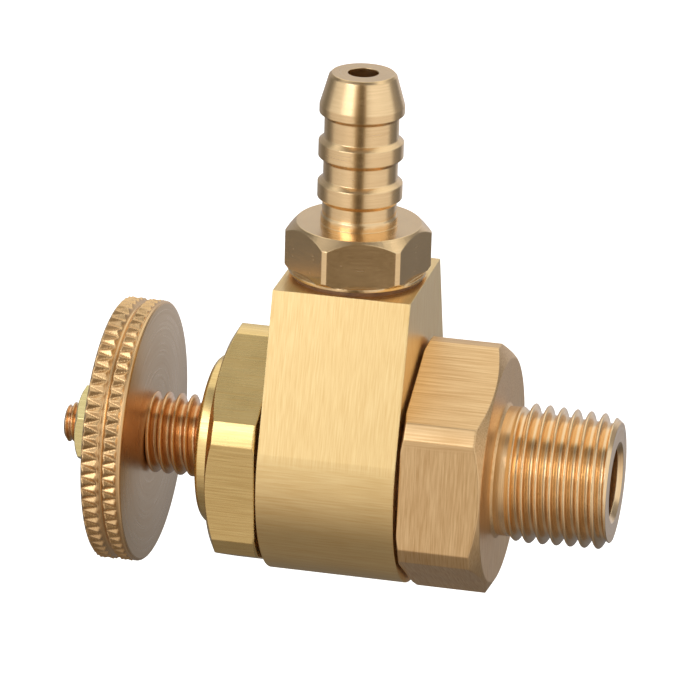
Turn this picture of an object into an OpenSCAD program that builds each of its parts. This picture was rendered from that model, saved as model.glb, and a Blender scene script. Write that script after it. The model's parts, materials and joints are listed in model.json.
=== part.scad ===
// Brass needle valve: tapered pipe thread in line with the spindle, hose barb at the side.
// X runs along the spindle towards the pipe thread, Z runs up the hose barb.
// The origin is on the spindle's axis, in the pipe thread's gauge plane.

/* [Body] */
// Length of the body along the spindle
body_l = 13.2; // [12.6:0.1:15]
// Radius of the rounded underside
body_r = 11.7; // [11:0.1:13]
// Height of the flat top above the spindle's axis
body_top = 18.2; // [17:0.1:20]
// Width of the flat top
body_top_w = 13.2; // [12.4:0.1:15]
// Major diameter of the threads that hold the bonnet and the adapter
main_d = 16; // [15.5:0.1:16.5]
// Pitch of those threads
main_pitch = 1.5; // [1:0.25:1.5]

/* [Bonnet] */
// Size of the bonnet's hexagon across its flats
bonnet_af = 22; // [21:0.1:22.4]
// Diameter that its corners are turned down to
bonnet_turned_d = 24.2; // [23.2:0.1:25]
// Length of the hexagon
bonnet_hex_l = 4.9; // [4:0.05:6]
// Diameter of the round collar
collar_d = 16.2; // [15:0.1:18]
// Length of the collar
collar_l = 1.75; // [1.2:0.05:3]

/* [Pipe adapter] */
// Size of the adapter's hexagon across its flats
adapter_af = 22; // [21:0.1:22.4]
// Diameter that its corners are turned down to
adapter_turned_d = 24.5; // [23.4:0.1:25]
// Length of the hexagon
adapter_hex_l = 7.8; // [6:0.1:9]
// Length from the hexagon to the end of the pipe thread
pipe_l = 10.95; // [10.8:0.05:12]
// Major diameter of the pipe thread in its gauge plane
pipe_d = 13.157; // [13:0.001:13.3]
// Pitch of the pipe thread, 19 turns to the inch
pipe_pitch = 1.337; // [1.3:0.001:1.36]
// Distance from the end of the pipe thread to its gauge plane
gauge_l = 6; // [5.5:0.1:6.5]
// Bore of the port
port_d = 6.84; // [6:0.02:7.2]

/* [Hose barb] */
// Size of the barb's hexagon across its flats
barb_af = 12.2; // [12:0.1:12.6]
// Diameter that its corners are turned down to
barb_turned_d = 13.8; // [13.4:0.1:14]
// Height of the hexagon
barb_hex_h = 4.85; // [4:0.05:6]
// Diameter over the three rings
barb_d = 8; // [7.8:0.1:8.4]
// Diameter of the neck between them
barb_neck_d = 7; // [6.6:0.05:7.2]
// Distance from one ring to the next
barb_pitch = 4; // [3.8:0.05:4.2]
// Bore of the barb
barb_bore_d = 2.9; // [2.6:0.1:3.2]
// Major diameter of its thread in the body
barb_thread_d = 9.73; // [9.5:0.01:9.9]
// Pitch of that thread
barb_thread_pitch = 0.907; // [0.9:0.001:0.92]

/* [Spindle] */
// Major diameter of the spindle's thread
spindle_d = 7.9; // [7.8:0.02:7.96]
// Pitch of the spindle's thread
spindle_pitch = 1.25; // [1:0.25:1.25]
// Length between the handwheel and the collar
spindle_out = 6; // [5:0.1:8]
// Diameter of the smooth stem inside the seals
stem_d = 6; // [5.8:0.05:6]
// Turns from this pose to closed
close_turns = 1; // [0.5:0.25:1]
// Turns from this pose to fully open
open_turns = 1.5; // [1:0.25:1.5]
// Diameter of the needle behind its cone
needle_d = 3; // [2.8:0.1:3]
// Half angle of the cone
needle_angle = 15; // [12:1:18]
// Bore of the seat
orifice_d = 2.4; // [2:0.1:2.6]

/* [Handwheel] */
// Diameter over the knurled rim
wheel_d = 25.5; // [24:0.1:30]
// Thickness of the handwheel
wheel_t = 3.9; // [3.4:0.1:5]
// Width of the square that drives it
drive_w = 4.5; // [4:0.1:4.8]
// Size of the nut across its flats
nut_af = 7; // [7:0.1:7.5]
// Height of the nut
nut_h = 3.2; // [2.6:0.1:3.4]
// Length of stud past the nut
stud_out = 1.55; // [0.8:0.05:2]

/* [Seals] */
// Thickness of the gaskets on the body's two ends
side_gasket_t = 0.3; // [0.2:0.05:0.4]
// Thickness of the gasket under the barb
top_gasket_t = 0.45; // [0.3:0.05:0.6]
// Thickness of the rubber rings on the stem
o_ring_t = 1.4; // [1.3:0.05:1.4]
// Diameter of the gland that the stem's seals sit in
gland_d = 9; // [8.9:0.1:9.4]

/* [Hidden] */
$fn = 96;

brass = [0.83, 0.66, 0.38];
dark_brass = [0.62, 0.48, 0.30];
steel = [0.70, 0.70, 0.72];
rubber = [0.10, 0.10, 0.11];
ptfe = [0.92, 0.92, 0.90];
fibre = [0.45, 0.27, 0.18];

run = 0.05;                                // radial, where one piece turns or slides in another
seated = 0.03;                             // radial, between pieces that don't move
stop_gap = 0.2;                            // left at each end of the travel
past = 1;                                  // how far a cut runs past the face it opens
chamfer = 0.577;                           // run for each unit of radius on a hexagon's chamfer

// stations along X, from the pipe thread back to the stud
pipe_end_x = gauge_l;
shank_x = pipe_end_x - pipe_l;
adapter_x = shank_x - adapter_hex_l;
body_right_x = adapter_x - side_gasket_t;
barb_x = body_right_x - body_l / 2;
body_left_x = barb_x - body_l / 2;
bonnet_x = body_left_x - side_gasket_t;
collar_x = bonnet_x - bonnet_hex_l;
bonnet_end_x = collar_x - collar_l;
wheel_x = bonnet_end_x - spindle_out;
wheel_out_x = wheel_x - wheel_t;
nut_x = wheel_out_x - nut_h;
stud_x = nut_x - stud_out;

// stations up Z
barb_hex_z = body_top + top_gasket_t;
barb_neck_z = barb_hex_z + barb_hex_h;
barb_top_z = barb_neck_z + 14.6;
barb_in_z = 12.2;
barb_port_z = 11.6;

// the side port and the room around the needle
port_r = 2;
bonnet_in_x = barb_x - 2.4;
adapter_in_x = barb_x + 3.2;

// the gland, from the bonnet's inner end outwards
gland_r = gland_d / 2;
retainer_t = 0.9;
spacer_t = 0.7;
backup_t = 0.5;
ring_room = o_ring_t + 0.1;
retainer_x = bonnet_in_x - retainer_t;
spacer_x = retainer_x - ring_room - spacer_t;
backup_x = spacer_x - ring_room - backup_t;

// the spindle and its travel
spindle_r = spindle_d / 2;
stem_r = stem_d / 2;
stud_r = 1.95;
tenon_x = wheel_out_x + 0.4;
close_travel = close_turns * spindle_pitch;
open_travel = open_turns * spindle_pitch;
thread_end_x = backup_x - close_travel - stop_gap;
clip_t = 0.7;
clip_x = bonnet_in_x + open_travel + stop_gap;
clip_groove_r = 2.5;
clip_r = 4;

// the seat
seat_r = 4;
seat_t = 1.4;
seat_floor_x = barb_x + 7;
seat_x = seat_floor_x - seat_t;
seat_retainer_t = 1;
seat_retainer_x = seat_x - seat_retainer_t;
passage_r = 1.8;
passage_end_x = barb_x + 11.5;

// the needle and the socket that it swivels in
stem_end_x = seat_retainer_x - close_travel - 0.35;
bush_t = 1;
head_t = 0.9;
head_r = 2.15;
bush_x = stem_end_x - bush_t;
head_x = bush_x - run - head_t;
socket_x = head_x - run;
needle_r = needle_d / 2;
orifice_r = orifice_d / 2;
tip_r = 0.35;
contact_x = seat_x - close_travel - stop_gap;
cone_x = contact_x - (needle_r - orifice_r) / tan(needle_angle);
tip_x = contact_x + (orifice_r - tip_r) / tan(needle_angle);

// thread forms, for each unit of pitch
metric_depth = 0.6134;
metric_crest = 0.125;
metric_flank = 0.354;
pipe_depth = 0.6403;
pipe_crest = 0.15;
pipe_flank = 0.333;
pipe_taper = 1 / 32;                       // radius lost for each unit of length

// where a corner of each hexagon points, in degrees up from the front
bonnet_turn = 24.5;
adapter_turn = 34.5;
nut_turn = 28;
barb_turn = 15.4;                          // its front flat, in degrees towards the pipe thread

// revolves an outline of [x, radius] points about the spindle's axis, its seam clear of the hexagons' corners
module turned(outline) {
    rotate([0, 90, 0])
        rotate([0, 0, 30])
            rotate_extrude()
                rotate([0, 0, 90])
                    mirror([0, 1])
                        polygon(outline);
}

// a plain ring about the spindle's axis
module ring(x, length, outer_r, inner_r) {
    turned([[x, inner_r], [x, outer_r], [x + length, outer_r], [x + length, inner_r]]);
}

// a hole about the spindle's axis
module bore(x, length, r) {
    translate([x, 0, 0])
        rotate([0, 90, 0])
            cylinder(r = r, h = length);
}

// a hexagonal bar about the spindle's axis, one corner turn degrees up from the front
module hex_bar(x, length, af, turn) {
    translate([x, 0, 0])
        rotate([0, 90, 0])
            rotate([0, 0, -90 - turn])
                cylinder(d = af / cos(30), h = length, $fn = 6);
}

// the outline of a row of thread ridges, from the first crest on; tilt is how far a crest falls each way
function ridges(x, count, pitch, r, form, tilt = 0) = [
    for (i = [0 : count - 1])
        let (
            c = x + i * pitch,
            land = form[1] * pitch / 2,
            foot = land + form[2] * pitch,
            root = r - form[0] * pitch
        )
            each [[c - foot, root], [c - land, r + tilt], [c + land, r - tilt], [c + foot, root]]
];

// pipe thread ridges: those from low to high are level, to be gauged, and the rest follow the taper
function pipe_ridges(x, count, r, low, high) = [
    for (i = [0 : count - 1])
        let (
            c = x + i * pipe_pitch,
            level = c > low && c < high,
            tilt = level ? 0 : pipe_crest * pipe_pitch / 2 * pipe_taper
        )
            each ridges(
                c, 1, pipe_pitch, r - pipe_taper * i * pipe_pitch,
                [pipe_depth, pipe_crest, pipe_flank], tilt
            )
];

// the ridges of a metric or parallel thread that fit between two stations
function thread(x0, x1, pitch, r) =
    let (
        form = [metric_depth, metric_crest, metric_flank],
        foot = (metric_crest / 2 + metric_flank) * pitch,
        count = floor((x1 - x0 - 2 * foot) / pitch) + 1
    )
    ridges(x0 + foot, count, pitch, r, form);

// a rubber ring on the stem
module o_ring(x) {
    translate([x, 0, 0])
        rotate([0, 90, 0])
            rotate_extrude()
                translate([stem_r + run + o_ring_t / 2, 0])
                    circle(d = o_ring_t);
}

module valve_body() {
    reach = norm([body_top_w / 2, body_top]);
    tangent = atan2(body_top, body_top_w / 2) - acos(body_r / reach);
    side = [body_r * cos(tangent), body_r * sin(tangent)];
    main_r = main_d / 2;
    mouth = 0.5;
    color(brass)
        difference() {
            translate([body_left_x, 0, 0])
                rotate([90, 0, 90])
                    linear_extrude(body_l)
                        union() {
                            circle(r = body_r);
                            polygon([
                                [0, 0],
                                side,
                                [body_top_w / 2, body_top],
                                [-body_top_w / 2, body_top],
                                [-side[0], side[1]]
                            ]);
                        }
            turned([
                [body_left_x - past, 0],
                [body_left_x - past, main_r + mouth],
                [body_left_x, main_r + mouth],
                [body_left_x + mouth, main_r],
                [body_right_x - mouth, main_r],
                [body_right_x, main_r + mouth],
                [body_right_x + past, main_r + mouth],
                [body_right_x + past, 0]
            ]);
            translate([barb_x, 0, 0])
                cylinder(r = port_r, h = body_top);
            translate([barb_x, 0, barb_port_z])
                cylinder(r = barb_thread_d / 2, h = body_top - barb_port_z + past);
        }
}

module bonnet() {
    turned_r = bonnet_turned_d / 2;
    face_r = 10.8;
    collar_r = collar_d / 2;
    edge = 0.3;
    main_r = main_d / 2 - seated;
    root_r = main_r - metric_depth * main_pitch;
    color(brass)
        difference() {
            union() {
                intersection() {
                    hex_bar(collar_x, bonnet_hex_l, bonnet_af, bonnet_turn);
                    turned([
                        [collar_x, 0],
                        [collar_x, face_r],
                        [collar_x + (turned_r - face_r) * chamfer, turned_r],
                        [bonnet_x - 0.15, turned_r],
                        [bonnet_x, turned_r - 0.3],
                        [bonnet_x, 0]
                    ]);
                }
                turned(concat(
                    [
                        [bonnet_end_x, 0],
                        [bonnet_end_x, collar_r - edge],
                        [bonnet_end_x + edge, collar_r],
                        [collar_x, collar_r],
                        [collar_x + past, collar_r],
                        [bonnet_x, collar_r - past],
                        [bonnet_x, root_r]
                    ],
                    thread(body_left_x + 0.3, bonnet_in_x - 0.2, main_pitch, main_r),
                    [[bonnet_in_x, root_r], [bonnet_in_x, 0]]
                ));
            }
            bore(bonnet_end_x - past, backup_x - bonnet_end_x + 2 * past, spindle_r + run);
            turned([
                [bonnet_end_x - past, 0],
                [bonnet_end_x - past, spindle_r + past + 0.4],
                [bonnet_end_x + 0.4, spindle_r],
                [bonnet_end_x + 0.4, 0]
            ]);
            bore(backup_x, bonnet_in_x - backup_x + past, gland_r);
        }
}

module pipe_adapter() {
    turned_r = adapter_turned_d / 2;
    back_r = 11.7;
    face_r = 10.75;
    relief_r = 6.15;
    main_r = main_d / 2 - seated;
    root_r = main_r - metric_depth * main_pitch;
    crests = 7;
    last_x = pipe_end_x - 1.05;
    first_x = last_x - (crests - 1) * pipe_pitch;
    first_r = pipe_d / 2 - first_x * pipe_taper;
    end_r = pipe_d / 2 - pipe_end_x * pipe_taper - pipe_depth * pipe_pitch;
    sink = 0.5;
    port = port_d / 2;
    color(brass)
        difference() {
            union() {
                intersection() {
                    hex_bar(adapter_x, adapter_hex_l, adapter_af, adapter_turn);
                    turned([
                        [adapter_x, 0],
                        [adapter_x, back_r],
                        [adapter_x + 0.25, turned_r],
                        [shank_x - (turned_r - face_r) * chamfer, turned_r],
                        [shank_x, face_r],
                        [shank_x, 0]
                    ]);
                }
                turned(concat(
                    [[adapter_in_x, 0], [adapter_in_x, root_r]],
                    thread(adapter_in_x + 0.2, body_right_x - 0.3, main_pitch, main_r),
                    [
                        [adapter_x, root_r],
                        [shank_x - past, relief_r],
                        [shank_x, relief_r + 0.3],
                        [shank_x + 0.3, relief_r]
                    ],
                    pipe_ridges(first_x, crests, first_r, -1.75 * pipe_pitch, 1.75 * pipe_pitch),
                    [[pipe_end_x, end_r], [pipe_end_x, 0]]
                ));
            }
            bore(adapter_in_x - past, seat_floor_x - adapter_in_x + past, seat_r);
            bore(seat_floor_x - past, passage_end_x - seat_floor_x + 2 * past, passage_r);
            turned([
                [passage_end_x - port * chamfer, 0],
                [passage_end_x, port],
                [pipe_end_x - sink, port],
                [pipe_end_x, port + sink],
                [pipe_end_x + past, port + sink],
                [pipe_end_x + past, 0]
            ]);
        }
}

module hose_barb() {
    turned_r = barb_turned_d / 2;
    back_r = 6.6;
    face_r = 5.9;
    washer_r = 6.5;
    hex_z = barb_hex_z + 0.3;
    thread_r = barb_thread_d / 2 - seated;
    root_r = thread_r - metric_depth * barb_thread_pitch;
    body_thread = thread(barb_in_z + 0.2, body_top - 0.3, barb_thread_pitch, thread_r);
    neck_r = barb_neck_d / 2;
    foot_r = neck_r + 0.12;
    ring_r = barb_d / 2;
    nose_z = barb_top_z - 3.05;
    upper_z = nose_z - 3.55;
    color(dark_brass)
        translate([barb_x, 0, 0])
            difference() {
                union() {
                    intersection() {
                        translate([0, 0, hex_z])
                            rotate([0, 0, barb_turn])
                                cylinder(d = barb_af / cos(30), h = barb_neck_z - hex_z, $fn = 6);
                        rotate_extrude()
                            polygon([
                                [0, hex_z],
                                [back_r, hex_z],
                                [turned_r, hex_z + turned_r - back_r],
                                [turned_r, barb_neck_z - (turned_r - face_r)],
                                [face_r, barb_neck_z],
                                [0, barb_neck_z]
                            ]);
                    }
                    rotate_extrude()
                        polygon(concat(
                            [[0, barb_in_z], [root_r, barb_in_z]],
                            [for (p = body_thread) [p[1], p[0]]],
                            [
                                [root_r, barb_hex_z],
                                [washer_r, barb_hex_z],
                                [washer_r, hex_z],
                                [root_r, hex_z],
                                [root_r, hex_z + past],
                                [foot_r, hex_z + 2 * past],
                                [foot_r, barb_neck_z + 0.75],
                                [neck_r, barb_neck_z + 0.9]
                            ],
                            [for (z = [upper_z - barb_pitch, upper_z]) each [
                                [neck_r, z - 1.9],
                                [ring_r, z - 1.45],
                                [ring_r, z],
                                [neck_r, z + 0.4]
                            ]],
                            [
                                [neck_r, nose_z - 1.15],
                                [ring_r, nose_z - 0.75],
                                [ring_r, nose_z],
                                [3.2, barb_top_z - 0.25],
                                [2.95, barb_top_z],
                                [0, barb_top_z]
                            ]
                        ));
                }
                translate([0, 0, barb_in_z - past])
                    cylinder(d = barb_bore_d, h = barb_top_z - barb_in_z + 2 * past);
            }
}

module bonnet_gasket() {
    color(fibre)
        ring(bonnet_x, side_gasket_t, 10, main_d / 2 + 0.6);
}

module adapter_gasket() {
    color(fibre)
        ring(body_right_x, side_gasket_t, 10, main_d / 2 + 0.6);
}

module barb_gasket() {
    color(fibre)
        translate([barb_x, 0, body_top])
            difference() {
                cylinder(r = 6.2, h = top_gasket_t);
                translate([0, 0, -past])
                    cylinder(r = barb_thread_d / 2 + 0.1, h = top_gasket_t + 2 * past);
            }
}

module outer_backup_ring() {
    color(ptfe)
        ring(backup_x, backup_t, gland_r - seated, stem_r + run);
}

module outer_stem_o_ring() {
    color(rubber)
        o_ring(spacer_x - ring_room / 2);
}

module stem_spacer_ring() {
    color(ptfe)
        ring(spacer_x, spacer_t, gland_r - seated, stem_r + run);
}

module inner_stem_o_ring() {
    color(rubber)
        o_ring(retainer_x - ring_room / 2);
}

module gland_retainer() {
    color(brass)
        difference() {
            ring(retainer_x, retainer_t, gland_r - seated, stem_r + run);
            // slot for the tool that screws it in
            translate([bonnet_in_x - 0.4, -gland_r, -0.5])
                cube([past, gland_d, 1]);
        }
}

module valve_seat() {
    color(ptfe)
        ring(seat_x, seat_t, seat_r - seated, orifice_r);
}

module seat_retainer() {
    color(brass)
        difference() {
            ring(seat_retainer_x, seat_retainer_t, seat_r - seated, 1.9);
            // slot for the tool that screws it in
            translate([seat_retainer_x - past, -seat_r, -0.5])
                cube([past + 0.4, 2 * seat_r, 1]);
        }
}

module spindle() {
    root_r = spindle_r - metric_depth * spindle_pitch;
    stud_root_r = stud_r - metric_depth * 0.7;
    color(dark_brass)
        difference() {
            union() {
                turned(concat(
                    [[stud_x, 0], [stud_x, stud_root_r]],
                    thread(stud_x, tenon_x, 0.7, stud_r),
                    [[tenon_x, stud_root_r], [tenon_x + past, stud_root_r], [tenon_x + past, 0]]
                ));
                translate([tenon_x, -drive_w / 2, -drive_w / 2])
                    cube([wheel_x - tenon_x + past, drive_w, drive_w]);
                turned(concat(
                    [[wheel_x, 0], [wheel_x, root_r]],
                    thread(wheel_x, thread_end_x, spindle_pitch, spindle_r),
                    [
                        [thread_end_x, root_r],
                        [thread_end_x, stem_r],
                        [clip_x - run, stem_r],
                        [clip_x - run, clip_groove_r],
                        [clip_x + clip_t + run, clip_groove_r],
                        [clip_x + clip_t + run, stem_r],
                        [stem_end_x - 0.2, stem_r],
                        [stem_end_x, stem_r - 0.2],
                        [stem_end_x, 0]
                    ]
                ));
            }
            bore(socket_x, stem_end_x - socket_x + past, head_r + run);
        }
}

module spindle_clip() {
    color(steel)
        difference() {
            ring(clip_x, clip_t, clip_r, clip_groove_r + seated);
            // the gap that lets it spring open
            translate([clip_x - past, -0.6, 0])
                cube([clip_t + 2 * past, 1.2, clip_r + past]);
        }
}

module needle() {
    color(steel)
        turned([
            [head_x, 0],
            [head_x, head_r],
            [head_x + head_t, head_r],
            [head_x + head_t, needle_r],
            [cone_x, needle_r],
            [tip_x, tip_r],
            [tip_x, 0]
        ]);
}

module needle_retainer() {
    color(brass)
        ring(bush_x, bush_t, head_r + run - 0.01, needle_r + run);
}

module handwheel() {
    wheel_r = wheel_d / 2;
    groove_r = wheel_r - 0.25;
    edge = 0.25;
    hole = drive_w + 2 * seated;
    color(brass)
        difference() {
            turned([
                [wheel_out_x, 0],
                [wheel_out_x, wheel_r - edge],
                [wheel_out_x + edge, wheel_r],
                [wheel_out_x + 1.7, wheel_r],
                [wheel_out_x + 1.8, groove_r],
                [wheel_out_x + 2.2, groove_r],
                [wheel_out_x + 2.3, wheel_r],
                [wheel_x - edge, wheel_r],
                [wheel_x, wheel_r - edge],
                [wheel_x, 0]
            ]);
            translate([wheel_out_x - past, -hole / 2, -hole / 2])
                cube([wheel_t + 2 * past, hole, hole]);
        }
}

module handwheel_nut() {
    corner_r = nut_af / 2 / cos(30);
    face_r = nut_af / 2 - 0.1;
    cone_r = corner_r + 0.5;
    cut = (cone_r - face_r) * chamfer;
    color(brass)
        difference() {
            intersection() {
                hex_bar(nut_x, nut_h, nut_af, nut_turn);
                turned([
                    [nut_x, 0],
                    [nut_x, face_r],
                    [nut_x + cut, cone_r],
                    [wheel_out_x - cut, cone_r],
                    [wheel_out_x, face_r],
                    [wheel_out_x, 0]
                ]);
            }
            bore(nut_x - past, nut_h + 2 * past, stud_r + seated);
        }
}

valve_body();
bonnet();
pipe_adapter();
hose_barb();
bonnet_gasket();
adapter_gasket();
barb_gasket();
outer_backup_ring();
outer_stem_o_ring();
stem_spacer_ring();
inner_stem_o_ring();
gland_retainer();
valve_seat();
seat_retainer();
spindle();
spindle_clip();
needle();
needle_retainer();
handwheel();
handwheel_nut();
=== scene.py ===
"""Looks of the brass needle valve: real threads, a cut knurl, broken edges and brushed or turned brass."""

import json
import math

import bmesh
import bpy
import numpy as np
from mathutils import Matrix, Vector


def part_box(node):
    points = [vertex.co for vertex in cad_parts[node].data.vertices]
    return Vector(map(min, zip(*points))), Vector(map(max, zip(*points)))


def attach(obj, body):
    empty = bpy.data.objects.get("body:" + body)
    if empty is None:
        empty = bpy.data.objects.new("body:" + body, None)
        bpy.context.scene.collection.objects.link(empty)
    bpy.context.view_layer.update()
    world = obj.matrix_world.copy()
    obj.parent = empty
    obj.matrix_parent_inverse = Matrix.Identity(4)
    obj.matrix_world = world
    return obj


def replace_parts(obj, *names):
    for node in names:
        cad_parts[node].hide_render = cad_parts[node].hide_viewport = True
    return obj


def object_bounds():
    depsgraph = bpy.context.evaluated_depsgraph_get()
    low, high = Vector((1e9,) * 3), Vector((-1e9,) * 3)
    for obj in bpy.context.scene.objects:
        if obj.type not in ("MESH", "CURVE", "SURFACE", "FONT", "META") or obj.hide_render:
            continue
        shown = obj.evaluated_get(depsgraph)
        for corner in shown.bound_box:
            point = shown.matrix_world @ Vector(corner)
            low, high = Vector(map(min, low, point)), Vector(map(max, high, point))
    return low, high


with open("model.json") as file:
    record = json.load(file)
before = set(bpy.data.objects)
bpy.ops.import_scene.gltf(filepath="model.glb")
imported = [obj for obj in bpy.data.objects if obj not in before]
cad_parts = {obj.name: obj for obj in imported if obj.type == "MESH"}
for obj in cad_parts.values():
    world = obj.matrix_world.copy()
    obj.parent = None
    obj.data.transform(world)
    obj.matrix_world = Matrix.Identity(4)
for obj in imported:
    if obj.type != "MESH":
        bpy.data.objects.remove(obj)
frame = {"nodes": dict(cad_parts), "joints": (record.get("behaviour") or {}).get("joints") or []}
cad_low, cad_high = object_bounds()

MM = 0.001
TURN = 2 * math.pi
WORN_EDGE = 0.14 * MM
# about how many cells of mottling and of fine pits there are in a metre of metal
MOTTLE_SCALE, PIT_SCALE = 420.0, 5200.0

# ---------------------------------------------------------------- places, from the CAD nodes
body_low, body_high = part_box("valve_body")
wheel_low, wheel_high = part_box("handwheel")
stem_low, stem_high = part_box("spindle")
clip_low, clip_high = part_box("spindle_clip")
nut_start_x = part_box("handwheel_nut")[0].x
seals_start_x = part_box("outer_backup_ring")[0].x
bush_start_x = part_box("needle_retainer")[0].x
pipe_end_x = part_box("pipe_adapter")[1].x
barb_x = (body_low.x + body_high.x) / 2
joints = {joint["name"]: joint for joint in frame["joints"]}
close_travel = -joints["needle_travel"]["range_m"][0]


# ---------------------------------------------------------------- meshes
def finish_mesh(mesh, name, smooth_angle=35):
    """Welds the mesh, turns its faces outwards and makes it a smooth-shaded object that keeps sharp edges."""
    work = bmesh.new()
    work.from_mesh(mesh)
    bmesh.ops.remove_doubles(work, verts=work.verts, dist=1e-7)
    bmesh.ops.recalc_face_normals(work, faces=work.faces)
    work.to_mesh(mesh)
    work.free()
    mesh.shade_smooth()
    mesh.set_sharp_from_angle(angle=math.radians(smooth_angle))
    piece = bpy.data.objects.new(name, mesh)
    bpy.context.scene.collection.objects.link(piece)
    return piece


def lathe(name, rings, turns, loop=False, smooth_angle=35):
    """A mesh turned about the spindle's axis from rings of (x, radius).

    A radius is one number, or one for each angle up from the front, -Y. With loop, the last ring joins the
    first, for a piece with a bore.
    """
    angle = angles(turns)
    places = np.empty((len(rings), turns, 3))
    for i, (x, radius) in enumerate(rings):
        places[i, :, 0] = x
        places[i, :, 1] = -radius * np.cos(angle)
        places[i, :, 2] = radius * np.sin(angle)
    count = len(rings)
    i, j = np.meshgrid(np.arange(count if loop else count - 1), np.arange(turns), indexing="ij")
    a = i * turns + j
    b = i * turns + (j + 1) % turns
    c = (i + 1) % count * turns + (j + 1) % turns
    d = (i + 1) % count * turns + j
    faces = np.stack([a, b, c, d], -1).reshape(-1, 4)
    mesh = bpy.data.meshes.new(name)
    mesh.from_pydata(places.reshape(-1, 3).tolist(), [], faces.tolist())
    return finish_mesh(mesh, name, smooth_angle)


def angles(turns):
    """That many even angles around the axis."""
    return np.arange(turns) * (TURN / turns)


def square(width, turns):
    """The radius of a square bar at each angle."""
    a = angles(turns)
    return width / 2 / np.maximum(abs(np.cos(a)), abs(np.sin(a)))


def helix(x, turns, crest_x, pitch, major, depth, land=0.06, flank=0.36):
    """The radius at each angle of a right-hand thread at x, with a crest that passes the front at crest_x.

    land is half a crest's width and flank the width of each of its sides, both for each unit of pitch.
    """
    u = (x - crest_x) / pitch + angles(turns) / TURN
    away = abs(u - np.round(u))
    fall = np.clip((away - land) / flank, 0, 1)
    fall = fall - 0.09 * np.sin(TURN * fall)
    return major - depth * fall


def span(start, end, step):
    """Stations from start to end, both included."""
    return np.linspace(start, end, max(2, int(round(abs(end - start) / step)) + 1))


def spindle_piece():
    """The spindle: M4 stud, square for the handwheel, M8 thread, clip groove and the needle's socket."""
    turns = 128
    stud_r, stud_pitch, stud_depth = 1.95 * MM, 0.7 * MM, 0.43 * MM
    thread_r, thread_pitch, thread_depth = 3.95 * MM, 1.25 * MM, 0.767 * MM
    stem_r, groove_r, socket_r = 3 * MM, 2.5 * MM, 2.2 * MM
    drive = square(4.5 * MM, turns)
    edge, play, stop_gap = 0.2 * MM, 0.05 * MM, 0.2 * MM
    # each thread's end slopes up from this radius, by this much for each unit along
    stud_end_r, stud_slope = 1.55 * MM, 1.2
    thread_end_r, thread_slope = 3.3 * MM, 1.5
    tenon = wheel_low.x + 0.4 * MM
    thread_end = seals_start_x - close_travel - stop_gap
    crest = barb_x - 18.03 * MM
    rings = [(stem_low.x, 0), (stem_low.x, 1.2 * MM)]
    for x in span(stem_low.x, tenon, 0.05 * MM):
        cut = helix(x, turns, nut_start_x, stud_pitch, stud_r, stud_depth)
        rings.append((x, np.minimum(cut, stud_end_r + (x - stem_low.x) * stud_slope)))
    rings += [(tenon, drive), (wheel_high.x, drive)]
    for x in span(wheel_high.x, thread_end, 0.06 * MM):
        cut = helix(x, turns, crest, thread_pitch, thread_r, thread_depth)
        rings.append((x, np.minimum(cut, thread_end_r + (thread_end - x) * thread_slope)))
    groove_start, groove_end = clip_low.x - play, clip_high.x + play
    socket_floor = bush_start_x - 1 * MM
    rings += [
        (thread_end, stem_r),
        (groove_start, stem_r), (groove_start, groove_r), (groove_end, groove_r), (groove_end, stem_r),
        (stem_high.x - edge, stem_r), (stem_high.x, stem_r - edge),
        (stem_high.x, socket_r), (socket_floor, socket_r), (socket_floor, 0),
    ]
    return lathe("spindle_threaded", rings, turns)


def handwheel_piece():
    """The handwheel, with its two bands of diamond knurl."""
    teeth = 62
    turns = teeth * 14
    outer_r = (wheel_high.z - wheel_low.z) / 2
    hub_r = 5 * MM
    drive = square(4.56 * MM, turns)
    lean = math.tan(math.radians(19)) / outer_r
    depth = 0.34 * MM
    ridge_flat, end_slope = 0.16, 1.3
    a = angles(turns)
    start, end = wheel_low.x, wheel_high.x

    def groove(phase):
        """0 on the ridges to 1 at the bottom of the cut, for one of the two crossing cuts."""
        return 1 - abs(2 * (phase - np.floor(phase)) - 1)

    def knurl(x, low, high):
        """The rim's radius at x in a band from low to high, with the teeth's ends sloped off."""
        shift = (x - (low + high) / 2) * lean
        cut = np.maximum(groove((a + shift) * teeth / TURN), groove((a - shift) * teeth / TURN + 0.5))
        cut = np.clip((cut - ridge_flat) / (1 - ridge_flat), 0, 1)
        edge = min(x - low, high - x)
        return np.minimum(outer_r - depth * cut, outer_r - depth + edge * end_slope)

    low_band = (start + 0.05 * MM, start + 1.62 * MM)
    high_band = (start + 2.14 * MM, end - 0.44 * MM)
    flat_r = outer_r - depth
    step = 0.075 * MM
    rings = [(start, drive), (start, hub_r), (start, outer_r - 0.75 * MM), (start, flat_r - 0.1 * MM)]
    rings += [(x, knurl(x, *low_band)) for x in span(*low_band, step)]
    # a rounded groove between the bands
    middle, half = (low_band[1] + high_band[0]) / 2, 0.2 * MM
    for u in np.linspace(-1, 1, 9):
        rings.append((middle + u * half, flat_r - 0.05 * MM - 0.14 * MM * (1 - u * u)))
    rings += [(x, knurl(x, *high_band)) for x in span(*high_band, step)]
    # a smooth rounded rim, as (mm back from the face, mm in from the knurl's tips)
    for back, drop in (
        (0.41, 0.24), (0.36, 0.15), (0.26, 0.13), (0.16, 0.16), (0.07, 0.24), (0.02, 0.33), (0, 0.42),
    ):
        rings.append((end - back * MM, outer_r - drop * MM))
    rings += [(end, hub_r), (end, drive)]
    return lathe("handwheel_knurled", rings, turns, loop=True, smooth_angle=28)


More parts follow.
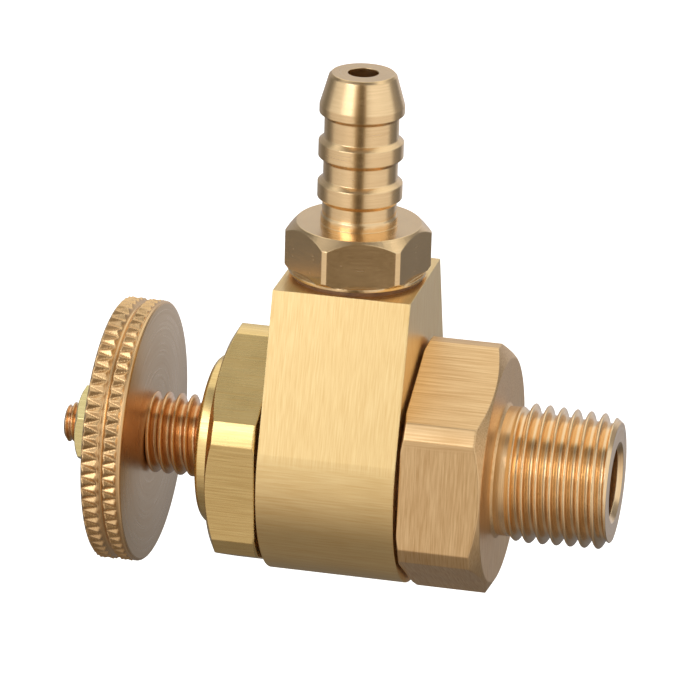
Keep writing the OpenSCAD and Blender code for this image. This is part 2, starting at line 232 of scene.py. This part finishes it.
def pipe_thread_piece():
    """The pipe thread with its relief, as a ring around the port."""
    turns = 160
    end = pipe_end_x
    port_r, relief_r, gauge_r = 3.42 * MM, 6.19 * MM, 6.5785 * MM
    pitch, depth = 1.337 * MM, 0.856 * MM
    start = end - 11.4 * MM
    first = end - 9.75 * MM
    run_in = 1.1 * MM
    nose_r, nose_slope = 5.72 * MM, 0.75
    crest = barb_x + 19.03 * MM
    rings = [(start, port_r), (start, relief_r), (first, relief_r)]
    for x in span(first, end, 0.055 * MM):
        major = gauge_r - x / 32
        cut = helix(x, turns, crest, pitch, major, depth, land=0.035, flank=0.38)
        share = min(1, (x - first) / run_in)
        cut = relief_r + (cut - relief_r) * share * share * (3 - 2 * share)
        rings.append((x, np.minimum(cut, nose_r + (end - x) * nose_slope)))
    sink, bore_step = 0.45 * MM, 4 * MM
    rings += [(end, port_r + sink), (end - sink, port_r), (end - bore_step, port_r)]
    return lathe("pipe_thread", rings, turns, loop=True)


def clean_copy(node, name, end=None):
    """A copy of a CAD solid with each flat face whole again, cut off square at x = end."""
    work = bmesh.new()
    work.from_mesh(frame["nodes"][node].data)
    bmesh.ops.remove_doubles(work, verts=work.verts, dist=1e-7)
    if end is not None:
        geometry = work.verts[:] + work.edges[:] + work.faces[:]
        bmesh.ops.bisect_plane(
            work, geom=geometry, dist=1e-7, plane_co=(end, 0, 0), plane_no=(1, 0, 0), clear_outer=True
        )
    bmesh.ops.dissolve_limit(work, angle_limit=math.radians(0.6), verts=work.verts, edges=work.edges)
    mesh = bpy.data.meshes.new(name)
    work.to_mesh(mesh)
    work.free()
    return finish_mesh(mesh, name, smooth_angle=14)


def break_edges(piece, width):
    """Gives the piece's edges a small real bevel."""
    modifier = piece.modifiers.new("edges", "BEVEL")
    modifier.width = width
    modifier.segments = 2
    modifier.limit_method = "ANGLE"
    modifier.angle_limit = math.radians(14)
    modifier.harden_normals = True
    modifier.miter_outer = "MITER_ARC"


# ---------------------------------------------------------------- materials
class Nodes:
    """A node tree being built, with short ways to add and join nodes."""

    def __init__(self, tree):
        self.tree = tree

    def add(self, kind, settings=None, **inputs):
        node = self.tree.nodes.new(kind)
        for key, value in (settings or {}).items():
            setattr(node, key, value)
        for key, value in inputs.items():
            self.feed(node, key, value)
        return node

    def feed(self, node, key, value):
        """Sets an input to a value, or joins a socket to it.

        The key is the input's name, with _ for a space, or i and its number.
        """
        numbered = key[0] == "i" and key[1:].isdigit()
        socket = node.inputs[int(key[1:]) if numbered else key.replace("_", " ")]
        if isinstance(value, bpy.types.NodeSocket):
            self.tree.links.new(value, socket)
        else:
            socket.default_value = value

    def math(self, operation, a, b=0.0, clamp=False):
        settings = {"operation": operation, "use_clamp": clamp}
        return self.add("ShaderNodeMath", settings, i0=a, i1=b).outputs[0]

    def spread(self, value, low, high, to_low, to_high):
        """Spreads the range low to high over to_low to to_high, and holds the ends."""
        return self.add(
            "ShaderNodeMapRange", Value=value, From_Min=low, From_Max=high, To_Min=to_low, To_Max=to_high
        ).outputs[0]

    def mix(self, factor, a, b):
        """The colour a at factor 0, and b at 1."""
        node = self.add("ShaderNodeMix", {"data_type": "RGBA"})
        self.feed(node, "i0", factor)
        self.feed(node, "i6", a)
        self.feed(node, "i7", b)
        return node.outputs[2]


def rgb(red, green, blue):
    """An sRGB colour from 0 to 255 as linear RGBA."""
    def linear(v):
        v /= 255
        return v / 12.92 if v <= 0.04045 else ((v + 0.055) / 1.055) ** 2.4
    return (linear(red), linear(green), linear(blue), 1)


def grain_vector(n, place, kind, width, length):
    """Coordinates that run one unit for a tool mark's width across the marks, and one for its length along.

    turned_x and turned_z are rings about the spindle and the barb, x is marks along the spindle, and z is
    marks up the faces.
    """
    fine, slow = 1 / (width * MM), 1 / (length * MM)
    split = n.add("ShaderNodeSeparateXYZ", Vector=place)
    if kind in ("turned_x", "turned_z"):
        if kind == "turned_x":
            along, p, q = split.outputs[0], split.outputs[1], split.outputs[2]
        else:
            along, p, q = split.outputs[2], n.math("SUBTRACT", split.outputs[0], barb_x), split.outputs[1]
        radius = n.math("SQRT", n.math("ADD", n.math("MULTIPLY", p, p), n.math("MULTIPLY", q, q)))
        swing = n.math("MULTIPLY", n.math("ARCTAN2", p, q), 0.9)
        along, radius = n.math("MULTIPLY", along, fine), n.math("MULTIPLY", radius, fine)
        return n.add("ShaderNodeCombineXYZ", X=along, Y=radius, Z=swing).outputs[0]
    if kind == "x":
        scale = (slow, fine, fine)
        return n.add("ShaderNodeVectorMath", {"operation": "MULTIPLY"}, i0=place, i1=scale).outputs[0]
    # on a face that looks along X, the marks lie side by side in Y
    normal = n.add("ShaderNodeNewGeometry").outputs["Normal"]
    end_on = n.math("ABSOLUTE", n.add("ShaderNodeSeparateXYZ", Vector=normal).outputs[0])
    depth = n.math("MULTIPLY", split.outputs[1], n.spread(end_on, 0.55, 0.75, slow, fine))
    return n.add(
        "ShaderNodeCombineXYZ", X=n.math("MULTIPLY", split.outputs[0], fine), Y=depth,
        Z=n.math("MULTIPLY", split.outputs[2], slow)
    ).outputs[0]


def metal(name, light, dark, rough, grain, marks=0.5, size=(0.17, 3.0), bump=0.25, second=None):
    """A brushed or turned metal.

    grain is the direction of its tool marks, and size their width and length in mm. second is (grain, where,
    width, size): at that height in mm the marks change over to another direction and size, within that width
    each way.
    """
    material = bpy.data.materials.new(name)
    material.use_nodes = True
    n = Nodes(material.node_tree)
    material.node_tree.nodes.clear()
    place = n.add("ShaderNodeTexCoord").outputs["Object"]

    def tool_marks(direction, width, length):
        vector = grain_vector(n, place, direction, width, length)
        return n.add("ShaderNodeTexNoise", Vector=vector, Scale=1.0, Detail=1.5, Roughness=0.6).outputs["Fac"]

    streaks = tool_marks(grain, *size)
    if second:
        other_grain, where, width, other_size = second
        other = tool_marks(other_grain, *other_size)
        height = n.add("ShaderNodeSeparateXYZ", Vector=place).outputs[2]
        share = n.spread(height, (where - width) * MM, (where + width) * MM, 0.0, 1.0)
        blend = n.add("ShaderNodeMix", {"data_type": "FLOAT"})
        n.feed(blend, "i0", share)
        n.feed(blend, "i2", streaks)
        n.feed(blend, "i3", other)
        streaks = blend.outputs[0]
    noise = {"Vector": place, "Detail": 2.0}
    broad = n.add("ShaderNodeTexNoise", Scale=MOTTLE_SCALE, Roughness=0.5, **noise).outputs["Fac"]
    pits = n.add("ShaderNodeTexNoise", Scale=PIT_SCALE, Roughness=0.6, **noise).outputs["Fac"]
    streak_tone = n.spread(streaks, 0.25, 0.75, -marks, marks)
    tone = n.math("ADD", streak_tone, n.spread(broad, 0.3, 0.7, -0.08, 0.08))
    tone = n.math("ADD", tone, n.spread(pits, 0.3, 0.7, -0.03, 0.03))
    tone = n.math("ADD", tone, 0.5, clamp=True)
    colour = n.mix(tone, dark, light)
    # edges are shaded rounded, and a little brighter where the rounding turns away from the face
    rounded = n.add("ShaderNodeBevel", {"samples": 4}, Radius=WORN_EDGE).outputs[0]
    flat = n.add("ShaderNodeNewGeometry").outputs["Normal"]
    same = n.add("ShaderNodeVectorMath", {"operation": "DOT_PRODUCT"}, i0=rounded, i1=flat).outputs["Value"]
    wear = n.spread(same, 0.97, 0.80, 0.0, 0.55)
    bright = tuple(min(1.0, c * 1.12 + 0.03) for c in light[:3]) + (1,)
    colour = n.mix(wear, colour, bright)
    roughness = n.spread(streaks, 0.2, 0.8, rough + 0.06, rough - 0.05)
    roughness = n.math("ADD", roughness, n.spread(broad, 0.3, 0.7, -0.015, 0.015))
    height = n.math("ADD", n.math("MULTIPLY", streaks, 0.98), n.math("MULTIPLY", pits, 0.02))
    relief = n.add("ShaderNodeBump", Height=height, Strength=bump, Distance=0.01 * MM, Normal=rounded)
    surface = {"Base_Color": colour, "Roughness": roughness, "Normal": relief.outputs[0]}
    shader = n.add("ShaderNodeBsdfPrincipled", Metallic=1.0, **surface)
    n.add("ShaderNodeOutputMaterial", Surface=shader.outputs[0])
    return material


def plain(name, light, dark, rough, scale=900.0, bump=0.2):
    """A fibre, rubber or plastic piece, mottled and slightly rough."""
    material = bpy.data.materials.new(name)
    material.use_nodes = True
    n = Nodes(material.node_tree)
    material.node_tree.nodes.clear()
    place = n.add("ShaderNodeTexCoord").outputs["Object"]
    noise = {"Scale": scale, "Detail": 4.0, "Roughness": 0.6}
    mottle = n.add("ShaderNodeTexNoise", Vector=place, **noise).outputs["Fac"]
    fine = n.add("ShaderNodeTexNoise", Vector=place, Scale=scale * 9, Detail=2.0).outputs["Fac"]
    colour = n.mix(n.spread(mottle, 0.3, 0.7, 0.0, 1.0), dark, light)
    roughness = n.spread(fine, 0.3, 0.7, rough - 0.07, rough + 0.07)
    relief = n.add("ShaderNodeBump", Height=fine, Strength=bump, Distance=0.02 * MM)
    surface = {"Base_Color": colour, "Roughness": roughness, "Normal": relief.outputs[0]}
    shader = n.add("ShaderNodeBsdfPrincipled", **surface)
    n.add("ShaderNodeOutputMaterial", Surface=shader.outputs[0])
    return material


def paint(piece, material):
    """Puts one material on the whole piece."""
    if piece.material_slots:
        for slot in piece.material_slots:
            slot.material = material
    else:
        piece.data.materials.append(material)


finishes = {
    "valve_body": metal(
        "body_brass", rgb(254, 226, 168), rgb(242, 208, 146), 0.34, "x", marks=0.55, size=(0.17, 4.0),
        second=("z", 2.8, 0.5, (0.12, 2.6)),
    ),
    "bonnet": metal(
        "bonnet_brass", rgb(250, 222, 158), rgb(228, 194, 128), 0.27, "x", marks=0.4, size=(0.16, 5.0)
    ),
    "pipe_adapter": metal(
        "adapter_brass", rgb(250, 216, 166), rgb(222, 182, 130), 0.38, "z", marks=0.5, size=(0.13, 2.4),
        second=("x", 5.6, 0.25, (0.17, 6.0)),
    ),
    "pipe_thread": metal(
        "thread_brass", rgb(250, 222, 180), rgb(238, 200, 152), 0.21, "turned_x", marks=0.3
    ),
    "hose_barb": metal(
        "barb_brass", rgb(248, 218, 172), rgb(236, 202, 154), 0.22, "turned_z", marks=0.25, bump=0.06
    ),
    "spindle": metal("spindle_brass", rgb(238, 198, 154), rgb(216, 168, 120), 0.21, "turned_x", marks=0.4),
    "handwheel_rim": metal("rim_brass", rgb(238, 202, 152), rgb(218, 178, 128), 0.28, "turned_x", marks=0.4),
    "handwheel_faces": metal(
        "wheel_face_brass", rgb(232, 206, 170), rgb(224, 196, 158), 0.30, "turned_x", marks=0.18, bump=0.04
    ),
    "handwheel_nut": metal("nut_brass", rgb(250, 236, 178), rgb(232, 214, 150), 0.24, "x", marks=0.3),
    "inner": metal("inner_brass", rgb(240, 205, 140), rgb(215, 175, 110), 0.3, "turned_x", marks=0.4),
    "needle": metal("needle_steel", rgb(205, 205, 208), rgb(170, 170, 176), 0.2, "turned_x", marks=0.4),
    "clip": metal("spring_steel", rgb(120, 120, 126), rgb(80, 80, 86), 0.35, "turned_x", marks=0.4),
    "gasket": plain("gasket_fibre", rgb(142, 102, 68), rgb(108, 76, 50), 0.6),
    "rubber": plain("seal_rubber", rgb(34, 34, 36), rgb(20, 20, 22), 0.6, bump=0.1),
    "ptfe": plain("ptfe", rgb(236, 236, 232), rgb(222, 222, 216), 0.5, bump=0.1),
}

# ---------------------------------------------------------------- pieces
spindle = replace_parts(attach(spindle_piece(), "spindle"), "spindle")
paint(spindle, finishes["spindle"])

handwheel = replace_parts(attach(handwheel_piece(), "spindle"), "handwheel")
handwheel.data.materials.append(finishes["handwheel_rim"])
handwheel.data.materials.append(finishes["handwheel_faces"])
for face in handwheel.data.polygons:
    face.material_index = int(abs(face.normal.x) > 0.99)

# the adapter's copy stops inside the relief of the thread piece, which takes over from there
adapter_cut = pipe_end_x - 10.4 * MM
for node, body, slot, width, end in (
    ("valve_body", "valve", "body_brass", 0.1, None),
    ("bonnet", "valve", "bonnet_brass", 0.08, None),
    ("pipe_adapter", "valve", "adapter_brass", 0.1, adapter_cut),
    ("hose_barb", "valve", "barb_brass", 0.08, None),
    ("handwheel_nut", "spindle", "nut_brass", 0.08, None),
):
    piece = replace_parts(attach(clean_copy(node, node + "_finished", end), body), node)
    paint(piece, finishes[node])
    break_edges(piece, width * MM)

pipe_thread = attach(pipe_thread_piece(), "valve")
paint(pipe_thread, finishes["pipe_thread"])

for node, finish in {
    "bonnet_gasket": "gasket", "adapter_gasket": "gasket", "barb_gasket": "gasket",
    "outer_backup_ring": "ptfe", "outer_stem_o_ring": "rubber", "stem_spacer_ring": "ptfe",
    "inner_stem_o_ring": "rubber", "gland_retainer": "inner", "valve_seat": "ptfe", "seat_retainer": "inner",
    "spindle_clip": "clip", "needle": "needle", "needle_retainer": "inner",
}.items():
    paint(frame["nodes"][node], finishes[finish])


# ---------------------------------------------------------------- floor, light and camera
def heading(azimuth, elevation):
    """The unit direction at that azimuth, from -Y towards +X, and elevation, in degrees."""
    a, e = math.radians(azimuth), math.radians(elevation)
    return Vector((math.sin(a) * math.cos(e), -math.cos(a) * math.cos(e), math.sin(e)))


def floor():
    """A plain pale floor well below the valve."""
    bpy.ops.mesh.primitive_plane_add(size=6, location=(barb_x, 0, cad_low.z - 0.06))
    plane = bpy.context.object
    plane.name = "floor"
    material = bpy.data.materials.new("floor_pale")
    material.use_nodes = True
    n = Nodes(material.node_tree)
    shader = material.node_tree.nodes["Principled BSDF"]
    n.feed(shader, "Base Color", (0.85, 0.85, 0.84, 1))
    n.feed(shader, "Roughness", 0.9)
    n.feed(shader, "Emission Color", (1, 1, 0.995, 1))
    n.feed(shader, "Emission Strength", 0.75)
    plane.data.materials.append(material)
    plane.visible_glossy = False


def studio():
    """The soft surroundings that the metal mirrors.

    There are two big soft boxes in front with a gap between them and one overhead that reaches back, in a
    room that gets darker and warmer low down, and darker still low behind.
    """
    world = bpy.data.worlds.new("studio")
    bpy.context.scene.world = world
    world.use_nodes = True
    n = Nodes(world.node_tree)
    world.node_tree.nodes.clear()
    toward = n.add("ShaderNodeTexCoord").outputs["Generated"]
    toward = n.add("ShaderNodeVectorMath", {"operation": "NORMALIZE"}, i0=toward).outputs[0]
    axes = n.add("ShaderNodeSeparateXYZ", Vector=toward)
    x, y, z = axes.outputs[0], axes.outputs[1], axes.outputs[2]
    azimuth = n.math("ARCTAN2", x, n.math("MULTIPLY", y, -1.0))
    elevation = n.math("ARCSINE", z)

    def curve(value, stops):
        """A brightness that follows the stops of (degrees, brightness), smoothly."""
        low, high = stops[0][0], stops[-1][0]
        share = n.spread(value, math.radians(low), math.radians(high), 0.0, 1.0)
        ramp = n.add("ShaderNodeValToRGB", Fac=share)
        ramp.color_ramp.interpolation = "EASE"
        elements = ramp.color_ramp.elements
        for degrees, level in stops[1:-1]:
            elements.new((degrees - low) / (high - low)).color = (level, level, level, 1)
        elements[0].color = (stops[0][1],) * 3 + (1,)
        elements[-1].color = (stops[-1][1],) * 3 + (1,)
        return ramp.outputs[0]

    height = curve(elevation, [
        (-90, 0.30), (-62, 0.28), (-46, 0.46), (-32, 0.69), (-20, 0.90), (-10, 1.04),
        (16, 1.10), (34, 1.06), (52, 0.90), (61, 0.55), (70, 0.26), (90, 0.30),
    ])
    around = curve(azimuth, [
        (-180, 0.56), (-140, 0.36), (-104, 0.18), (-92, 0.30), (-78, 0.72), (-50, 0.82),
        (-24, 0.97), (-10, 0.95), (-3, 0.30), (8, 0.11), (19, 0.15), (27, 0.80),
        (45, 0.92), (100, 0.86), (116, 0.30), (145, 0.22), (164, 0.66), (180, 0.56),
    ])
    # straight up and down, every direction around is alike
    steep = n.math("ABSOLUTE", elevation)
    flat = n.add("ShaderNodeMapRange", {"interpolation_type": "SMOOTHSTEP"}, Value=steep)
    n.feed(flat, "From Min", math.radians(75))
    n.feed(flat, "From Max", math.radians(45))
    around = n.mix(flat.outputs[0], (0.8, 0.8, 0.8, 1), around)
    light = n.add("ShaderNodeVectorMath", {"operation": "MULTIPLY"}, i0=height, i1=around).outputs[0]
    sunk = n.spread(elevation, math.radians(-17), math.radians(-29), 0.0, 0.85)
    light = n.mix(n.math("MULTIPLY", sunk, n.spread(y, 0.3, 0.7, 0.0, 1.0)), light, (0.14, 0.14, 0.14, 1))

    def soft_edge(value, outer, inner):
        """0 beyond outer, rising smoothly to 1 at inner."""
        edge = n.add("ShaderNodeMapRange", {"interpolation_type": "SMOOTHSTEP"}, Value=value)
        n.feed(edge, "From Min", outer)
        n.feed(edge, "From Max", inner)
        return edge.outputs[0]

    over = n.math("DIVIDE", y, n.math("MAXIMUM", z, 0.01))
    aside = n.math("ABSOLUTE", n.math("DIVIDE", x, n.math("MAXIMUM", z, 0.01)))
    box = n.math("MULTIPLY", soft_edge(over, -0.06, 0.08), soft_edge(over, 2.3, 1.6))
    box = n.math("MULTIPLY", box, soft_edge(aside, 1.1, 0.7))
    light = n.mix(box, light, (1.06, 1.05, 1.0, 1))
    tint = n.mix(n.spread(z, -0.7, 0.1, 0.0, 1.0), (1.0, 0.88, 0.77, 1), (1.0, 0.99, 0.97, 1))
    behind = n.math("MULTIPLY", n.spread(y, 0.3, 0.9, 0.0, 1.0), n.spread(z, 0.7, 0.4, 0.0, 1.0))
    tint = n.mix(behind, tint, (0.99, 0.99, 1.05, 1))
    # what the gap between the front boxes shows is warm
    from_gap = n.math("ABSOLUTE", n.math("SUBTRACT", azimuth, math.radians(8)))
    gap = n.spread(from_gap, 0.2, 0.35, 1.0, 0.0)
    tint = n.mix(gap, tint, (1.0, 0.76, 0.48, 1))
    light = n.add("ShaderNodeVectorMath", {"operation": "MULTIPLY"}, i0=light, i1=tint).outputs[0]
    # the camera itself sees a plain pale room
    seen = n.add("ShaderNodeLightPath").outputs["Is Camera Ray"]
    light = n.mix(seen, light, (0.96, 0.96, 0.95, 1))
    background = n.add("ShaderNodeBackground", Color=light, Strength=1.0)
    n.add("ShaderNodeOutputWorld", Surface=background.outputs[0])


def soft_box(name, azimuth, elevation, distance, width, tall, power):
    """A rectangular soft light aimed at the middle of the valve."""
    data = bpy.data.lights.new(name, "AREA")
    data.shape = "RECTANGLE"
    data.size, data.size_y = width, tall
    data.energy = power
    lamp = bpy.data.objects.new(name, data)
    middle = Vector((barb_x, 0, 0.01))
    way = heading(azimuth, elevation)
    lamp.location = middle + way * distance
    lamp.rotation_euler = way.to_track_quat("Z", "Y").to_euler()
    bpy.context.scene.collection.objects.link(lamp)


def camera():
    """A long lens, above and to the right of the front, rolled a little."""
    aim = Vector((barb_x - 0.489 * MM, 0, 10.491 * MM))
    azimuth, elevation, roll = 12.426, 20.776, math.radians(1.691)
    distance = 0.453
    back = heading(azimuth, elevation)
    right = heading(azimuth + 90, 0)
    up = back.cross(right)
    data = bpy.data.cameras.new("camera")
    data.sensor_width = 36
    data.lens = 245.56
    data.clip_start = 0.05
    view = bpy.data.objects.new("camera", data)
    x = right * math.cos(roll) + up * math.sin(roll)
    y = up * math.cos(roll) - right * math.sin(roll)
    view.matrix_world = Matrix.Translation(aim + back * distance) @ Matrix((x, y, back)).transposed().to_4x4()
    bpy.context.scene.collection.objects.link(view)
    bpy.context.scene.camera = view


floor()
studio()
soft_box("key", -30, 30, 0.6, 0.3, 0.3, 0.6)
camera()
bpy.context.scene.view_settings.view_transform = "Standard"
